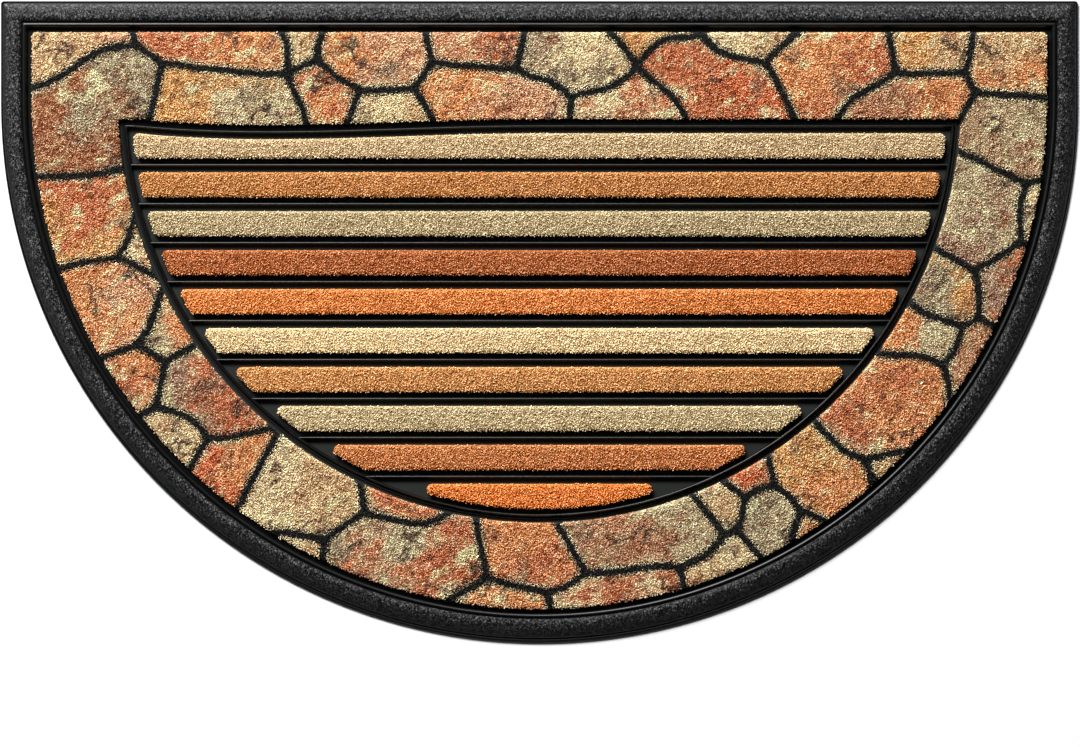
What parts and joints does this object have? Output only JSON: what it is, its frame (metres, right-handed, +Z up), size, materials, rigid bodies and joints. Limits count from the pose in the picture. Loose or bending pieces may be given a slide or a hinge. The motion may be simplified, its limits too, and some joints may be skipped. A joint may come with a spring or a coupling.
{
  "type": "doormat",
  "caption": "Half-round doormat: a moulded rubber tray with a crowned rim and cross ridges, set with a stone-print pile ring and straight pile strips.",
  "frame": {"origin": "middle of the underside's bounding box, on the surface that the mat lies on", "axes": "+X along the straight edge, +Y from the round edge towards the straight edge, +Z up out of the pile"},
  "size_m": [0.762, 0.4536, 0.009],
  "materials": {
    "rubber": "moulded black rubber, fine leather grain on the rim, smooth on the bead and ridges",
    "stone_print_pile": "short cut pile, printed with flagstones in sand, ochre, rust and grey with near-black joints",
    "cream_pile": "short cut pile, dyed plain",
    "camel_pile": "short cut pile, dyed plain",
    "grey_beige_pile": "short cut pile, dyed plain",
    "brown_pile": "short cut pile, dyed plain",
    "orange_pile": "short cut pile, dyed plain",
    "light_cream_pile": "short cut pile, dyed plain",
    "caramel_pile": "short cut pile, dyed plain",
    "pale_grey_beige_pile": "short cut pile, dyed plain",
    "terracotta_pile": "short cut pile, dyed plain",
    "deep_orange_pile": "short cut pile, dyed plain"
  },
  "bodies": {
    "root": {"rubber_base": "rubber", "stone_pile": "stone_print_pile", "stripe_01": "cream_pile", "stripe_02": "camel_pile", "stripe_03": "grey_beige_pile", "stripe_04": "brown_pile", "stripe_05": "orange_pile", "stripe_06": "light_cream_pile", "stripe_07": "caramel_pile", "stripe_08": "pale_grey_beige_pile", "stripe_09": "terracotta_pile", "stripe_10": "deep_orange_pile"}
  },
  "joints": []
}
